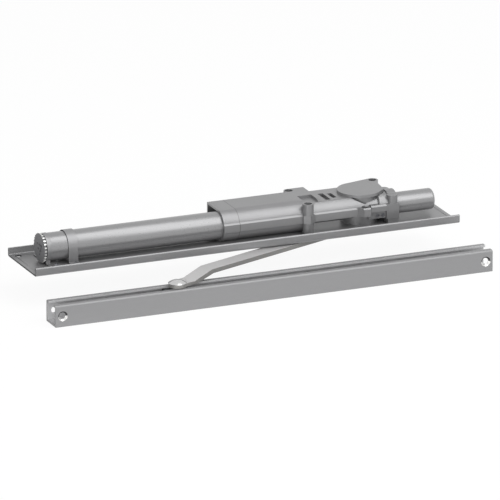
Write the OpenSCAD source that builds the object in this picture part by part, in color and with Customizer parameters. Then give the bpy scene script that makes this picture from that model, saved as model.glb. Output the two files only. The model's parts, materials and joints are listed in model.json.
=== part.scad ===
// Concealed door closer: spring tube, cast housing, arm and sliding track.
// Millimetres. X runs along the header, Y to the back, Z up.
// The origin is the underside of the mounting plate, at its centre.

/* [Mounting plate] */
// Length of the mounting plate
plate_l = 618; // [612:1:640]
// Width over the two upturned flanges
plate_w = 102; // [101:0.5:110]
// Thickness of the plate floor
plate_t = 2.5; // [2:0.1:3]
// Thickness of the upturned flanges
flange_t = 2.5; // [2:0.1:2.8]
// Inner radius of the bend between floor and flange
bend_r = 1; // [0.5:0.1:1.4]
// Height of the flanges, from the underside
flange_h = 12; // [8:0.5:12]
// Chamfer along the top outer edges of the flanges
flange_edge = 1.2; // [0.4:0.1:1.6]
// Diameter of the corner fixing holes
plate_hole_d = 9; // [5:0.5:11]
// Corner hole centre to the end of the plate
plate_hole_end = 10.1; // [9:0.1:14]
// Corner hole centre to the long edge of the plate
plate_hole_edge = 12.7; // [10:0.1:16]

/* [Spring tube] */
// Height of the closer axis over the plate floor
axis_over_floor = 20.7; // [20.7:0.1:22]
// Outside diameter of the spring tube
tube_d = 38.2; // [37.6:0.1:38.4]
// Wall of the spring tube
tube_wall = 1.8; // [1.5:0.1:2]
// Left end of the tube, from the plate centre
tube_x0 = -273.2; // [-275:0.1:-272]
// Right end of the tube, at the housing shoulder
tube_x1 = 12; // [8:0.5:14]

/* [Spring dial] */
// Diameter over the dial teeth
dial_d = 40.8; // [38:0.2:40.8]
// Depth of the dial teeth
dial_tooth = 1.2; // [0.8:0.1:1.6]
// Number of dial teeth
dial_teeth = 26; // [20:1:30]
// Thickness of the toothed rim
dial_t = 3; // [2.4:0.1:3.5]
// Outer face of the dial, from the plate centre
dial_x = -283.7; // [-286:0.1:-283.4]

/* [Housing] */
// Left end of the housing
house_x0 = -25; // [-30:0.5:-20]
// Radius of the round housing front
house_r = 21.8; // [21:0.1:22]
// Step of the raised rim at the left end
rim_step = 0.7; // [0.3:0.1:1]
// Length of the raised rim
rim_l = 23; // [18:0.5:28]
// Height of the flat top over the plate floor
top_h = 42.5; // [42:0.1:44]
// Drop from the flat top to the lower top by the drum
top_drop = 2.8; // [1.5:0.1:3]
// Where the lower top begins
top_step_x = 121; // [121:0.5:126]
// Outer face of the back wall
back_y = 38; // [36:0.5:39]
// Wall of the hollow part behind the tube
shell_t = 2.6; // [2:0.1:3.2]
// Front face of the level rib
rib_y = 23.5; // [23:0.1:24.5]
// Height of the rib
rib_h = 12; // [10:0.5:13]
// Height of the rib's lower edge over the plate floor
rib_z = 15.8; // [14:0.1:16]
// Chamfer along the rib's front edge
rib_edge = 2; // [0.5:0.1:2.2]
// Diameter of the screw head recesses
recess_d = 11; // [10.6:0.1:11.4]
// Width of the front screw column
boss_d = 15.2; // [14.6:0.1:16]

/* [Drum and cover] */
// Pinion axis along the plate
pinion_x = 186.3; // [186:0.1:187]
// Pinion axis across the plate
pinion_y = 10; // [10:0.01:10.1]
// Diameter of the lower drum
drum_d = 51; // [49.5:0.5:52]
// Diameter of the neck under the cover
neck_d = 48; // [46:0.5:49]
// Radius cleared in the barrel round the neck
clear_r = 29.5; // [29:0.1:29.8]
// Diameter of the cover
cover_d = 60.4; // [58:0.2:62]
// Thickness of the cover
cover_t = 3.9; // [3:0.1:5]
// Radius of the cover's bolt end
cover_end_r = 7.8; // [7.5:0.1:8.5]

/* [Rack and pinion] */
// Gear module
gear_m = 1.25; // [1.25:0.001:1.26]
// Number of pinion teeth
gear_n = 16; // [16:1:16]
// Backlash at the pitch line
backlash = 0.3; // [0.2:0.05:0.4]
// Diameter of the piston
piston_d = 29.92; // [29.84:0.01:29.96]
// Diameter of the piston bore
bore_d = 30; // [30:0.01:30.04]
// Diameter of the rack bar
bar_d = 22.88; // [22.82:0.01:22.94]
// Diameter of the rack bar's bore
bar_bore_d = 23; // [23:0.01:23.04]
// Diameter of the pinion journals
journal_d = 16; // [15.9:0.01:16.02]
// Radial running clearance of journals and screws
run_gap = 0.04; // [0.02:0.01:0.08]

/* [Closer spring] */
// Diameter of the spring wire
wire_d = 4.8; // [4:0.1:5]
// Mean radius of the spring coils
coil_r = 14.4; // [14:0.1:14.4]
// Number of coils
coils = 21; // [16:1:24]

/* [End tube] */
// Outside diameter of the end tube
end_d = 29; // [28:0.1:29.4]
// Right end of the end tube
end_x = 289; // [282:0.5:296]
// Rounding of the end tube's nose
end_round = 4; // [2:0.5:6]
// Radius of the collar round its root
collar_r = 20.5; // [20:0.1:20.6]

/* [Arm] */
// Pinion axis to the arm's stud
arm_l = 341.9; // [320:0.1:360]
// Angle of the arm from the plate's long axis
arm_angle = 21.54; // [15:0.01:30]
// Width of the arm bar
arm_w = 22; // [18:0.5:24]
// Thickness of the arm bar
arm_t = 6.4; // [5:0.1:7]
// Gap between the arm and the plate's underside
arm_gap = 1; // [0.6:0.1:1.4]
// Height of the step down near the stud
arm_drop = 9.2; // [9:0.1:9.6]
// Diameter of the domed stud head
dome_d = 24.8; // [22:0.2:26]
// Height of the dome
dome_h = 4.2; // [3:0.1:6]

/* [Track] */
// Length of the track
track_l = 635; // [560:5:700]
// Width of the track
track_w = 33.6; // [33.4:0.1:36]
// Height of the track
track_h = 29.8; // [29.4:0.1:32]
// Wall of the track
track_t = 3; // [2.4:0.1:3]
// Chamfer along the track's top outer edges
track_edge = 1.6; // [0.5:0.1:2]
// Width of the slot between the track's lips
slot_w = 17; // [16.8:0.1:18]
// Middle of the track, from the plate centre
track_x = 4.2; // [-10:0.1:20]
// Cross hole centre to the end of the track
track_hole_end = 10.2; // [9:0.1:14]
// Diameter of the cross holes
track_hole_d = 9; // [5:0.1:9.4]
// Diameter of the cross hole countersinks
track_sink_d = 13.6; // [10:0.1:14]
// Top of the track under the plate
track_drop = 16; // [16:0.1:16.3]

/* [Hidden] */
$fn = 64;
axis_z = plate_t + axis_over_floor;
top_z = plate_t + top_h;
low_z = top_z - top_drop;
rib_z0 = plate_t + rib_z;
rib_z1 = rib_z0 + rib_h;
pinion = [pinion_x, pinion_y];
tube_r = tube_d / 2;
tube_in = tube_r - tube_wall;
pitch_r = gear_m * gear_n / 2;
tip_r = pitch_r + gear_m - 0.05;
root_r = pitch_r - 1.28 * gear_m;
base_r = pitch_r * cos(20);
gear_z0 = plate_t + 9.6;
gear_z1 = plate_t + 31.8;
seat_z = top_z - 12;
column_y = plate_w / 2 - flange_t - bend_r - 0.1;
ear = [96.8, 43.2];
boss = [97.9, -21.6];
cover_boss = [pinion_x + 32.9, 40.6];
lug_hole = [pinion_x - 5.9, -23.9];
valves = [[pinion_x + 14.4, 12.6], [pinion_x + 22.3, 12.4]];
valve_y = -20;
house_x1 = pinion_x + 26.7;
barrel_x = house_x1 - 9;
bay_x0 = 107;
slots_x = top_step_x + 9;
bearing_r = 11;
chamber_r = 14;
plug_r = chamber_r - 0.1;
spigot = 1.2;
head_x0 = 36;
head_x1 = head_x0 + 28;
bore_x1 = 100;
rack_x0 = pinion_x - 18.3;
rack_x1 = pinion_x + 35.7;
bar_x1 = rack_x1 + 30;
stud = [pinion_x - arm_l * cos(arm_angle), pinion_y - arm_l * sin(arm_angle)];
arm_z1 = -arm_gap;
eye_z1 = arm_z1 - arm_drop;
eye_z0 = eye_z1 - 5.2;
track_z1 = -track_drop;
track_z0 = track_z1 - track_h;
track_x0 = track_x - track_l / 2;
track_x1 = track_x + track_l / 2;
strap_x = [tube_x0 + 23.7, tube_x0 + 37.5];
strap_t = 1.5;
strap_foot_t = 1.6;
strap_foot_w = 74;
bracket_x = [tube_x0 - 6.3, tube_x0];
bracket_foot_t = 1.4;
bracket_foot_w = 64;
foot_screws_at = [
  [tube_x0 + 30.6, 29.5, strap_foot_t], [tube_x0 + 30.6, -29.5, strap_foot_t],
  [tube_x0 + 4.7, 26, bracket_foot_t], [tube_x0 + 4.7, -26, bracket_foot_t]
];
clamp_x = [house_x1, house_x1 + 19];
clamp_screws_at = [for (y = [14.5, -14.5]) [house_x1 + 11.3, y]];
clamp_ledge_z = plate_t + 27.5;
thrust_x = tube_x0 + 9;
thrust_t = 2;
screw_r = 5;
screw_x1 = tube_x0 + 103.2;
nut_x = tube_x0 + 45.2;
follower_x = head_x0 - 35;

// Helpers: cylinders along the closer axis and along Z, and a box by corners
module xcyl(x0, x1, r, y = 0, z = axis_z)
  translate([x0, y, z]) rotate([0, 90, 0]) cylinder(h = x1 - x0, r = r);
module zcyl(p, z0, z1, r, r2 = undef)
  translate([p[0], p[1], z0])
    cylinder(h = z1 - z0, r1 = r, r2 = is_undef(r2) ? r : r2);
module ycyl(x, z, y0, y1, r, r2 = undef)
  translate([x, y0, z]) rotate([-90, 0, 0])
    cylinder(h = y1 - y0, r1 = r, r2 = is_undef(r2) ? r : r2);
module box(a, b) translate(a) cube(b - a);

// Plate

module plate_section() {
  r = bend_r + flange_t;
  translate([r - plate_w / 2, 0]) square([plate_w - 2 * r, plate_t]);
  for (s = [0, 1]) mirror([s, 0]) {
    translate([plate_w / 2 - flange_t, 0]) polygon([
      [0, r], [flange_t, r], [flange_t, flange_h - flange_edge],
      [flange_t - flange_edge, flange_h], [0, flange_h]
    ]);
    difference() {
      translate([plate_w / 2 - r, 0]) square(r);
      translate([plate_w / 2 - r - 1, r]) square([r + 2, 1]);
      translate([plate_w / 2 - r, r]) circle(r = bend_r);
      difference() {
        translate([plate_w / 2 - r, -1]) square(r + 1);
        translate([plate_w / 2 - r, r]) circle(r = r);
      }
    }
  }
}

module mounting_plate() color("Silver") difference() {
  translate([-plate_l / 2, 0, 0]) rotate([90, 0, 90])
    linear_extrude(plate_l) plate_section();
  for (x = [-1, 1], y = [-1, 1])
    zcyl([x * (plate_l / 2 - plate_hole_end), y * (plate_w / 2 - plate_hole_edge)],
         -1, plate_t + 1, plate_hole_d / 2);
  zcyl(pinion, -1, plate_t + 1, 12);
  for (p = [ear, boss, cover_boss]) zcyl(p, -1, plate_t + 1, 3);
  for (p = foot_screws_at) zcyl([p[0], p[1]], -1, plate_t + 1, 2);
  for (p = clamp_screws_at) {
    zcyl(p, -1, plate_t + 1, 2.5);
    zcyl(p, -0.01, 2, 4.51, 2.5);
  }
}

// Cast housing

module house_front() difference() {
  intersection() {
    union() {
      xcyl(house_x0, bay_x0, house_r);
      intersection() {
        xcyl(house_x0, pinion_x, house_r);
        box([house_x0, -40, rib_z0 + 1], [pinion_x, 40, top_z]);
      }
      xcyl(bay_x0 - 1, pinion_x, bar_bore_d / 2 + 2.2);
      xcyl(house_x0, house_x0 + rim_l, house_r + rim_step);
    }
    union() {
      box([house_x0 - 1, -40, plate_t], [pinion_x + 1, 40, low_z]);
      box([house_x0 - 1, -40, plate_t], [top_step_x, 40, top_z]);
    }
  }
  zcyl(pinion, rib_z1, top_z + 5, clear_r);
}

module house_block() {
  box([house_x0, 0, plate_t], [top_step_x, back_y, top_z]);
  box([top_step_x - 1, 0, plate_t], [pinion_x, back_y, low_z]);
  // ear with its column down to the plate
  zcyl(ear, top_z - 12, top_z, 7);
  box([ear[0], back_y - 4, top_z - 12], [top_step_x, ear[1] + 7, top_z]);
  intersection() {
    zcyl(ear, plate_t, top_z - 11, 6.6);
    box([ear[0] - 9, ear[1] - 9, 0],
        [ear[0] + 9, column_y, top_z]);
  }
  // front screw column, wider where the rib meets it
  zcyl(boss, plate_t, top_z, boss_d / 2);
  translate([boss[0], boss[1], rib_z0 + 0.4]) rotate(30)
    cylinder(h = rib_h - 0.8, r = boss_d / 2 + 1.9, $fn = 6);
  // level rib, and the lug at its end
  rib(house_x0, pinion_x, rib_z0);
  difference() {
    translate([pinion_x, 0, rib_z0]) linear_extrude(rib_h) polygon([
      [-16.8, -rib_y + 1], [-9.3, -30.5], [0.7, -30.5], [0.7, -10], [-16.8, -10]
    ]);
    translate([pinion_x - 6.3, -30.5, rib_z1]) rotate([45, 0, 0])
      cube([40, 2.2, 2.2], center = true);
  }
}

module rib(x0, x1, z0) translate([x0, 0, 0]) rotate([90, 0, 90])
  linear_extrude(x1 - x0) polygon([
    [0, z0], [-rib_y, z0], [-rib_y, rib_z1 - rib_edge], [rib_edge - rib_y, rib_z1],
    [0, rib_z1]
  ]);

module house_drum() {
  intersection() {
    zcyl(pinion, plate_t, rib_z1, drum_d / 2);
    box([pinion_x - drum_d, -60, 0], [house_x1, 60, top_z]);
  }
  zcyl(pinion, rib_z1 - 1, low_z, neck_d / 2);
  intersection() {
    zcyl(cover_boss, plate_t, low_z, 7.4);
    box([barrel_x, 0, 0], [house_x1 + 20, column_y, top_z]);
  }
  translate([pinion_x, pinion_y, plate_t]) rotate(42.9)
    translate([20, -4, 0]) cube([22, 8, low_z - plate_t - 0.5]);
  // wall round the bore, from the drum to the end tube
  xcyl(pinion_x, house_x1, end_d / 2 + 2.5);
  // barrel towards the end tube, with a chamfered end
  intersection() {
    union() {
      translate([barrel_x, 0, axis_z]) rotate([0, 90, 0])
        cylinder(h = 1.2, r1 = collar_r - 1.4, r2 = collar_r - 0.2);
      xcyl(barrel_x + 1.2, house_x1, collar_r - 0.2);
    }
    box([barrel_x - 1, -40, rib_z1 - 1], [house_x1, 40, low_z - 0.3]);
  }
  // valve face under a lip
  box([pinion_x + 1.7, valve_y, plate_t + 8.5], [house_x1, 0, rib_z1 - 1]);
  rib(pinion_x + 4, house_x1, rib_z1 - 9);
}

module house_cores() {
  // open end round the spring tube
  box([house_x0 - 1, 0, plate_t - 1],
      [tube_x1, back_y - shell_t, top_z - shell_t]);
  xcyl(house_x0 - 1, tube_x1, tube_r + 0.25);
  // hollow behind the piston bore
  difference() {
    box([house_x0 - 1, 8, plate_t - 1],
        [94, back_y - shell_t, top_z - shell_t - 0.2]);
    xcyl(house_x0 - 2, top_step_x, bore_d / 2 + 3.6);
  }
  // bay under and behind the slim part round the rack bar, open at the back
  difference() {
    union() {
      box([bay_x0, -40, plate_t - 1], [pinion_x, back_y + 1, rib_z0]);
      box([bay_x0, 15.5, plate_t], [pinion_x, back_y + 1, low_z - 7]);
    }
    xcyl(bay_x0 - 1, pinion_x + 1, bar_bore_d / 2 + 2.2);
    zcyl(pinion, 0, top_z, drum_d / 2);
  }
  xcyl(tube_x1 - 1, bore_x1, bore_d / 2);
  xcyl(bore_x1 - 1, house_x1 + 1, bar_bore_d / 2);
  xcyl(house_x1 - spigot, house_x1 + 1, end_d / 2);
  // pinion chamber with its bearing seats
  zcyl(pinion, gear_z0 - 0.3, gear_z1 + 0.5, tip_r + 0.5);
  zcyl(pinion, gear_z1 + 0.4, low_z + 6, chamber_r);
  zcyl(pinion, plate_t + 2, gear_z0, bearing_r);
  zcyl(pinion, plate_t - 1, plate_t + 2.1, 10.5);
  // screw holes and their recesses
  for (p = [ear, boss, cover_boss]) {
    zcyl(p, plate_t - 1, top_z + 1, 3.3);
    zcyl(p, seat_z, top_z + 1, recess_d / 2);
  }
  zcyl(lug_hole, rib_z0 - 1, rib_z1 + 1, 4.2);
  for (v = valves) ycyl(v[0], plate_t + v[1], valve_y - 1, -10, 3 + run_gap);
  for (v = valves) ycyl(v[0], plate_t + v[1], -11, -5, 1);
  // shallow pocket and two slots in the top
  box([97, -13, top_z - 3.4], [117.5, 15, top_z + 1]);
  box([slots_x, -7.5, low_z - 4], [slots_x + 7.4, 22, low_z + 1]);
  box([slots_x + 12, -2, low_z - 4], [slots_x + 18.5, 18.4, low_z + 1]);
}

module main_body() color("Silver") difference() {
  union() {
    house_front();
    house_block();
    house_drum();
  }
  house_cores();
}

// Cover, bearings and seals of the pinion

cover_tip = pinion + [28.5, -11.4];
cover_v = cover_boss - pinion;
cover_n = norm(cover_v);
cover_turn = atan2(cover_v[1], cover_v[0]);
cover_lean = acos((cover_d / 2 - cover_end_r) / cover_n);
function cover_side(r) = (r - 0.05)
  * [cos(cover_turn + cover_lean), sin(cover_turn + cover_lean)];

// Round over the pinion, with a bolt end behind and a blunt corner to the right
module cover_outline() {
  translate(pinion) circle(r = cover_d / 2);
  translate(cover_boss) circle(r = cover_end_r);
  translate(cover_tip) circle(r = 2.6);
  polygon([
    pinion + cover_side(cover_d / 2), cover_boss + cover_side(cover_end_r),
    cover_boss + [6, -4.9], pinion + [34, 13.5], cover_tip + [2.55, 0],
    cover_tip + 2.55 * [0.669, -0.744], pinion + [19.75, -22.7]
  ]);
}

module pinion_cover() color("Silver") difference() {
  union() {
    translate([0, 0, low_z]) linear_extrude(cover_t) cover_outline();
    zcyl(pinion, gear_z1 + 0.7, low_z + 1, plug_r);
  }
  zcyl(pinion, gear_z1 - 1, low_z - 0.9, bearing_r);
  zcyl(pinion, low_z - 1, low_z + 0.3, journal_d / 2 + 0.6);
  difference() {
    zcyl(pinion, low_z - 2.6, low_z - 1, chamber_r + 1);
    zcyl(pinion, low_z - 3, low_z, chamber_r - 1.6);
  }
  zcyl(cover_boss, low_z - 1, low_z + cover_t + 1, recess_d / 2);
}

module cover_seal() color("DimGray") translate([pinion_x, pinion_y, low_z - 1.8])
  rotate_extrude() translate([chamber_r - 0.8, 0]) circle(r = 0.7, $fn = 20);

module upper_bearing() color("SteelBlue") difference() {
  zcyl(pinion, gear_z1 + 0.7, low_z - 2.4, bearing_r);
  zcyl(pinion, gear_z1, low_z, journal_d / 2 + run_gap);
}

module lower_bearing() color("SteelBlue") difference() {
  zcyl(pinion, plate_t + 2.1, gear_z0 - 0.4, bearing_r);
  zcyl(pinion, 0, gear_z0, journal_d / 2 + run_gap);
}

module pinion_seal() color("DimGray") difference() {
  zcyl(pinion, plate_t + 0.1, plate_t + 2.1, 10.5);
  zcyl(pinion, 0, plate_t + 3, journal_d / 2 + 0.06);
}

// Spring tube and what holds it

module spring_tube() color("Gainsboro") difference() {
  xcyl(tube_x0, tube_x1, tube_r);
  xcyl(tube_x0 - 1, tube_x1 + 1, tube_in);
}

module tube_end_bracket() color("Silver") difference() {
  union() {
    xcyl(bracket_x[0], bracket_x[1], tube_r + 0.5);
    box([bracket_x[0], -13, plate_t], [bracket_x[1], 13, plate_t + 6]);
    box([bracket_x[0], -bracket_foot_w / 2, plate_t],
        [bracket_x[1] + 11.2, bracket_foot_w / 2, plate_t + bracket_foot_t]);
  }
  xcyl(bracket_x[0] - 1, bracket_x[1] + 1, 6);
  for (i = [2, 3]) zcyl(foot_screws_at[i], 0, plate_t + 3, 2.2);
}

module tube_strap() color("Silver") difference() {
  union() {
    xcyl(strap_x[0], strap_x[1], tube_r + strap_t);
    box([strap_x[0], -tube_r - strap_t, plate_t], [strap_x[1], tube_r + strap_t, axis_z]);
    box([strap_x[0], -strap_foot_w / 2, plate_t],
        [strap_x[1], strap_foot_w / 2, plate_t + strap_foot_t]);
  }
  xcyl(strap_x[0] - 1, strap_x[1] + 1, tube_r);
  box([strap_x[0] - 1, -tube_r, 0], [strap_x[1] + 1, tube_r, axis_z]);
  for (i = [0, 1]) zcyl(foot_screws_at[i], 0, plate_t + 3, 2.2);
}

module end_plug() color("Silver") difference() {
  xcyl(tube_x0, thrust_x, tube_in);
  xcyl(tube_x0 - 1, thrust_x + 1, screw_r + run_gap);
}

module foot_screws() color("DarkGray") for (p = foot_screws_at) {
  z = plate_t + p[2];
  difference() {
    union() {
      zcyl(p, 0.2, z + 0.1, 2);
      zcyl(p, z, z + 2.6, 3.8, 3.2);
    }
    box([p[0] - 2.2, p[1] - 0.5, z + 1.4], [p[0] + 2.2, p[1] + 0.5, z + 3]);
    box([p[0] - 0.5, p[1] - 2.2, z + 1.4], [p[0] + 0.5, p[1] + 2.2, z + 3]);
  }
}

module body_screws() color("DarkGray") for (p = [ear, boss, cover_boss])
  difference() {
    union() {
      zcyl(p, 0.2, seat_z + 0.1, 3);
      zcyl(p, seat_z, seat_z + 6, 5);
    }
    translate([p[0], p[1], seat_z + 3]) cylinder(h = 4, r = 2.9, $fn = 6);
  }

// End tube and its clamp

module end_tube() color("Gainsboro") difference() {
  translate([house_x1 - spigot, 0, axis_z]) rotate([0, 90, 0]) rotate_extrude() {
    l = end_x - house_x1 + spigot;
    square([end_d / 2, l - end_round]);
    square([end_d / 2 - end_round, l]);
    intersection() {
      translate([end_d / 2 - end_round, l - end_round]) circle(r = end_round);
      translate([end_d / 2 - end_round, l - end_round]) square(end_round);
    }
  }
  xcyl(house_x1 - 3, end_x - 6, bar_bore_d / 2);
}

module clamp_bracket() color("Silver") difference() {
  union() {
    xcyl(clamp_x[0], clamp_x[1], low_z - axis_z - 0.4);
    xcyl(clamp_x[0] + 6.6, clamp_x[1], collar_r);
    box([clamp_x[0] + 0.5, -22, plate_t + 6.5], [clamp_x[1], 22, clamp_ledge_z]);
    // round posts over the screws
    for (p = clamp_screws_at) zcyl(p, clamp_ledge_z - 1, axis_z + 17.5, 7.3);
    for (s = [-1, 1]) box([clamp_x[0] + 2.5, s > 0 ? 8 : -21, plate_t],
                          [clamp_x[1] - 1, s > 0 ? 21 : -8, plate_t + 8]);
  }
  xcyl(clamp_x[0] - 1, clamp_x[1] + 1, end_d / 2);
  for (p = clamp_screws_at) zcyl(p, 0, plate_t + 9, 2.5);
}

module clamp_screws() color("DarkGray") for (p = clamp_screws_at)
  difference() {
    union() {
      zcyl(p, 0.05, plate_t + 8, 2.5);
      zcyl(p, 0.05, 2, 4.4, 2.45);
    }
    translate([p[0], p[1], -1]) cylinder(h = 2.4, r = 1.6, $fn = 6);
  }

// Regulating valves

module valve_screw(v) difference() {
  union() {
    ycyl(v[0], plate_t + v[1], valve_y + 0.6, -12.5, 3);
    ycyl(v[0], plate_t + v[1], -12.6, -10.2, 2.2, 0.8);
  }
  box([v[0] - 3.5, valve_y, plate_t + v[1] - 0.45],
      [v[0] + 3.5, valve_y + 1.9, plate_t + v[1] + 0.45]);
}
module sweep_valve() color("DarkGray") valve_screw(valves[0]);
module latch_valve() color("DarkGray") valve_screw(valves[1]);

// Dial and spring adjustment

module spring_dial() color("DimGray") difference() {
  union() {
    xcyl(dial_x, dial_x + dial_t, dial_d / 2);
    xcyl(dial_x, bracket_x[0] - 0.4, 9);
  }
  for (i = [0:dial_teeth - 1])
    translate([dial_x, 0, axis_z]) rotate([i * 360 / dial_teeth, 0, 0])
      translate([-1, 0, dial_d / 2 + 0.4]) rotate([0, 90, 0])
        cylinder(h = dial_t + 2, r = dial_tooth + 0.4, $fn = 16);
  xcyl(dial_x - 1, bracket_x[0], screw_r);
  for (a = [90, 210, 330])
    xcyl(dial_x - 1, dial_x + 2, 1.5, y = 8.6 * cos(a), z = axis_z - 8.6 * sin(a));
}

module dial_screw() color("DarkGray") difference() {
  union() {
    xcyl(dial_x - 1.6, dial_x, 5.6);
    xcyl(dial_x - 0.1, dial_x + 3, 2.5);
  }
  translate([dial_x - 2, 0, axis_z]) rotate([0, 90, 0]) cylinder(h = 2.6, r = 2, $fn = 6);
}

module adjusting_screw() color("DarkGray") difference() {
  union() {
    xcyl(dial_x, screw_x1, screw_r);
    xcyl(thrust_x + thrust_t + 0.05, thrust_x + thrust_t + 4, 2 * screw_r);
  }
  xcyl(dial_x - 1, dial_x + 3, 2.5);
}

module thrust_bearing() color("SteelBlue") difference() {
  xcyl(thrust_x, thrust_x + thrust_t, 2 * screw_r + 2);
  xcyl(thrust_x - 1, thrust_x + thrust_t + 1, screw_r + 0.3);
}

module adjusting_nut() color("DarkGray") difference() {
  xcyl(nut_x - 9, nut_x, tube_in - 0.3);
  xcyl(nut_x - 10, nut_x + 1, screw_r + run_gap);
}

// Spring: one wire swept along a helix, with closer coils at both ends
spring_l = follower_x - nut_x - wire_d;
spring_steps = coils * 8;
function coil_at(t) = let (e = 0.075)
  t < e ? t * 0.55 : t > 1 - e ? 1 - (1 - t) * 0.55
        : e * 0.55 + (t - e) * (1 - 1.1 * e) / (1 - 2 * e);
function wire_point(i, j) = let (
    t = i / spring_steps, a = t * coils * 360, b = j * 60,
    rr = coil_r + wire_d / 2 * cos(b)
  ) [nut_x + wire_d / 2 + spring_l * coil_at(t) + wire_d / 2 * sin(b),
     rr * cos(a), axis_z + rr * sin(a)];
echo(least_gap_between_coils = 0.55 * spring_l / coils - wire_d);

module closer_spring() color("SlateGray") polyhedron(
  points = [for (i = [0:spring_steps], j = [0:5]) wire_point(i, j)],
  faces = concat(
    [[for (j = [0:5]) j]],
    [for (i = [0:spring_steps - 1], j = [0:5])
      [i * 6 + j, i * 6 + 6 + j, i * 6 + 6 + (j + 1) % 6, i * 6 + (j + 1) % 6]],
    [[for (j = [5:-1:0]) spring_steps * 6 + j]]
  ));

module spring_follower() color("DarkGray") {
  xcyl(follower_x, follower_x + 5, tube_in - 0.3);
  xcyl(follower_x, head_x0, 8);
}

// Piston with its rack

function inv(r) = r <= base_r ? 0
  : tan(acos(base_r / r)) * 180 / PI - acos(base_r / r);
tooth_half = 90 / gear_n - backlash / 4 / pitch_r * 180 / PI;
flank_r = [root_r, base_r, base_r + 0.35, base_r + 0.8, base_r + 1.3, tip_r];
function flank_a(r) = tooth_half + inv(pitch_r) - inv(r);

module rack_teeth() {
  p = PI * gear_m;
  h = p / 4 - backlash / 4;
  up = gear_m - 0.05;
  down = 1.28 * gear_m;
  for (i = [-3:8]) translate([pinion_x + (i + 0.5) * p, pinion_y - pitch_r, axis_z - 13])
    linear_extrude(26) polygon([
      [-h - down * tan(20), -down - 0.1], [h + down * tan(20), -down - 0.1],
      [h - up * tan(20), up], [-h + up * tan(20), up]
    ]);
}

module piston_rack() color("DarkGray") difference() {
  union() {
    difference() {
      xcyl(head_x0, head_x1, piston_d / 2);
      difference() {
        xcyl(head_x0 + 8, head_x0 + 11, piston_d);
        xcyl(head_x0 + 7, head_x0 + 12, 12.6);
      }
    }
    xcyl(head_x1, rack_x0, bar_d / 2);
    xcyl(rack_x1, bar_x1, bar_d / 2);
    intersection() {
      xcyl(rack_x0, rack_x1, bar_d / 2);
      union() {
        box([rack_x0, -13, 0], [rack_x1, pinion_y - pitch_r - 1.28 * gear_m, 60]);
        rack_teeth();
      }
    }
  }
  xcyl(head_x0 - 1, head_x0 + 16, 2.4, y = -9.6, z = axis_z - 3);
  xcyl(head_x0 + 15, head_x1 + 1, 1.2, y = -9.6, z = axis_z - 3);
}

module piston_seal() color("DimGray") translate([head_x0 + 9.5, 0, axis_z])
  rotate([0, 90, 0]) rotate_extrude() translate([13.75, 0]) circle(r = 1.15, $fn = 20);

module check_ball() color("Gainsboro")
  translate([head_x0 + 13.6, -9.6, axis_z - 3]) sphere(r = 2.2, $fn = 24);

// Pinion

module pinion_shaft() color("DarkGray") difference() {
  union() {
    zcyl(pinion, gear_z1 - 0.1, low_z - 1.2, journal_d / 2);
    translate([pinion_x, pinion_y, gear_z0]) linear_extrude(gear_z1 - gear_z0)
      polygon([for (i = [0:gear_n - 1], k = [0:11])
        let (r = k < 6 ? flank_r[k] : flank_r[11 - k],
             a = -90 + i * 360 / gear_n + (k < 6 ? -flank_a(r) : flank_a(r)))
        [r * cos(a), r * sin(a)]]);
    zcyl(pinion, arm_z1 + 0.1, gear_z0 + 0.1, journal_d / 2);
    translate([pinion_x - 5.5, pinion_y - 5.5, arm_z1 - 9.2]) cube([11, 11, 10]);
  }
  zcyl(pinion, arm_z1 - 10, arm_z1 + 8, 3);
}

// Arm and stud

module closer_arm() color("Silver") difference() {
  union() {
    zcyl(pinion, arm_z1 - 9.4, arm_z1, 15);
    translate([pinion_x, pinion_y, 0]) rotate(180 + arm_angle)
      translate([0, arm_w / 2, 0]) rotate([90, 0, 0]) linear_extrude(arm_w) polygon([
        [0, arm_z1 - 0.2], [arm_l - 54, arm_z1 - 0.2], [arm_l - 22, eye_z1 - 0.2],
        [arm_l, eye_z1 - 0.2], [arm_l, eye_z0 + 0.2], [arm_l - 25, eye_z0 + 0.2],
        [arm_l - 57, arm_z1 - arm_t], [0, arm_z1 - arm_t]
      ]);
    zcyl(stud, eye_z0, eye_z1, dome_d / 2 - 0.4);
  }
  translate([pinion_x - 5.5, pinion_y - 5.5, arm_z1 - 12]) cube([11, 11, 14]);
  zcyl(stud, eye_z0 - 1, eye_z1 + 1, 5);
}

module arm_screw() color("DarkGray") difference() {
  union() {
    zcyl(pinion, arm_z1 - 9.5, arm_z1 + 6, 3);
    zcyl(pinion, arm_z1 - 10.6, arm_z1 - 9.4, 9);
    zcyl(pinion, arm_z1 - 13.9, arm_z1 - 10.5, 5);
  }
  translate([pinion_x, pinion_y, arm_z1 - 15]) cylinder(h = 3.4, r = 2.6, $fn = 6);
}

dome_ball_r = (pow(dome_d / 2, 2) + pow(dome_h, 2)) / (2 * dome_h);
module arm_stud() color("Gainsboro") {
  intersection() {
    translate([stud[0], stud[1], eye_z1 + dome_h - dome_ball_r]) sphere(r = dome_ball_r);
    zcyl(stud, eye_z1, eye_z1 + dome_h + 1, dome_d / 2);
  }
  difference() {
    zcyl(stud, track_z1 - 24.5, eye_z1 + 0.2, 5);
    difference() {
      zcyl(stud, track_z1 - 23.4, track_z1 - 22.2, 6);
      zcyl(stud, track_z1 - 24, track_z1 - 22, 3.9);
    }
  }
}

// Shoe and track

shoe_z1 = track_z1 - track_t - 0.5;
module slide_shoe() color("WhiteSmoke") difference() {
  union() {
    box([stud[0] - 17, stud[1] - track_w / 2 + track_t + 0.5, track_z1 - 22],
        [stud[0] + 17, stud[1] + track_w / 2 - track_t - 0.5, shoe_z1]);
    box([stud[0] - 8, stud[1] - slot_w / 2 + 0.5, shoe_z1 - 1],
        [stud[0] + 8, stud[1] + slot_w / 2 - 0.5, eye_z0 - 0.35]);
  }
  zcyl(stud, track_z1 - 23, eye_z0 + 1, 5 + run_gap);
}

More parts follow.
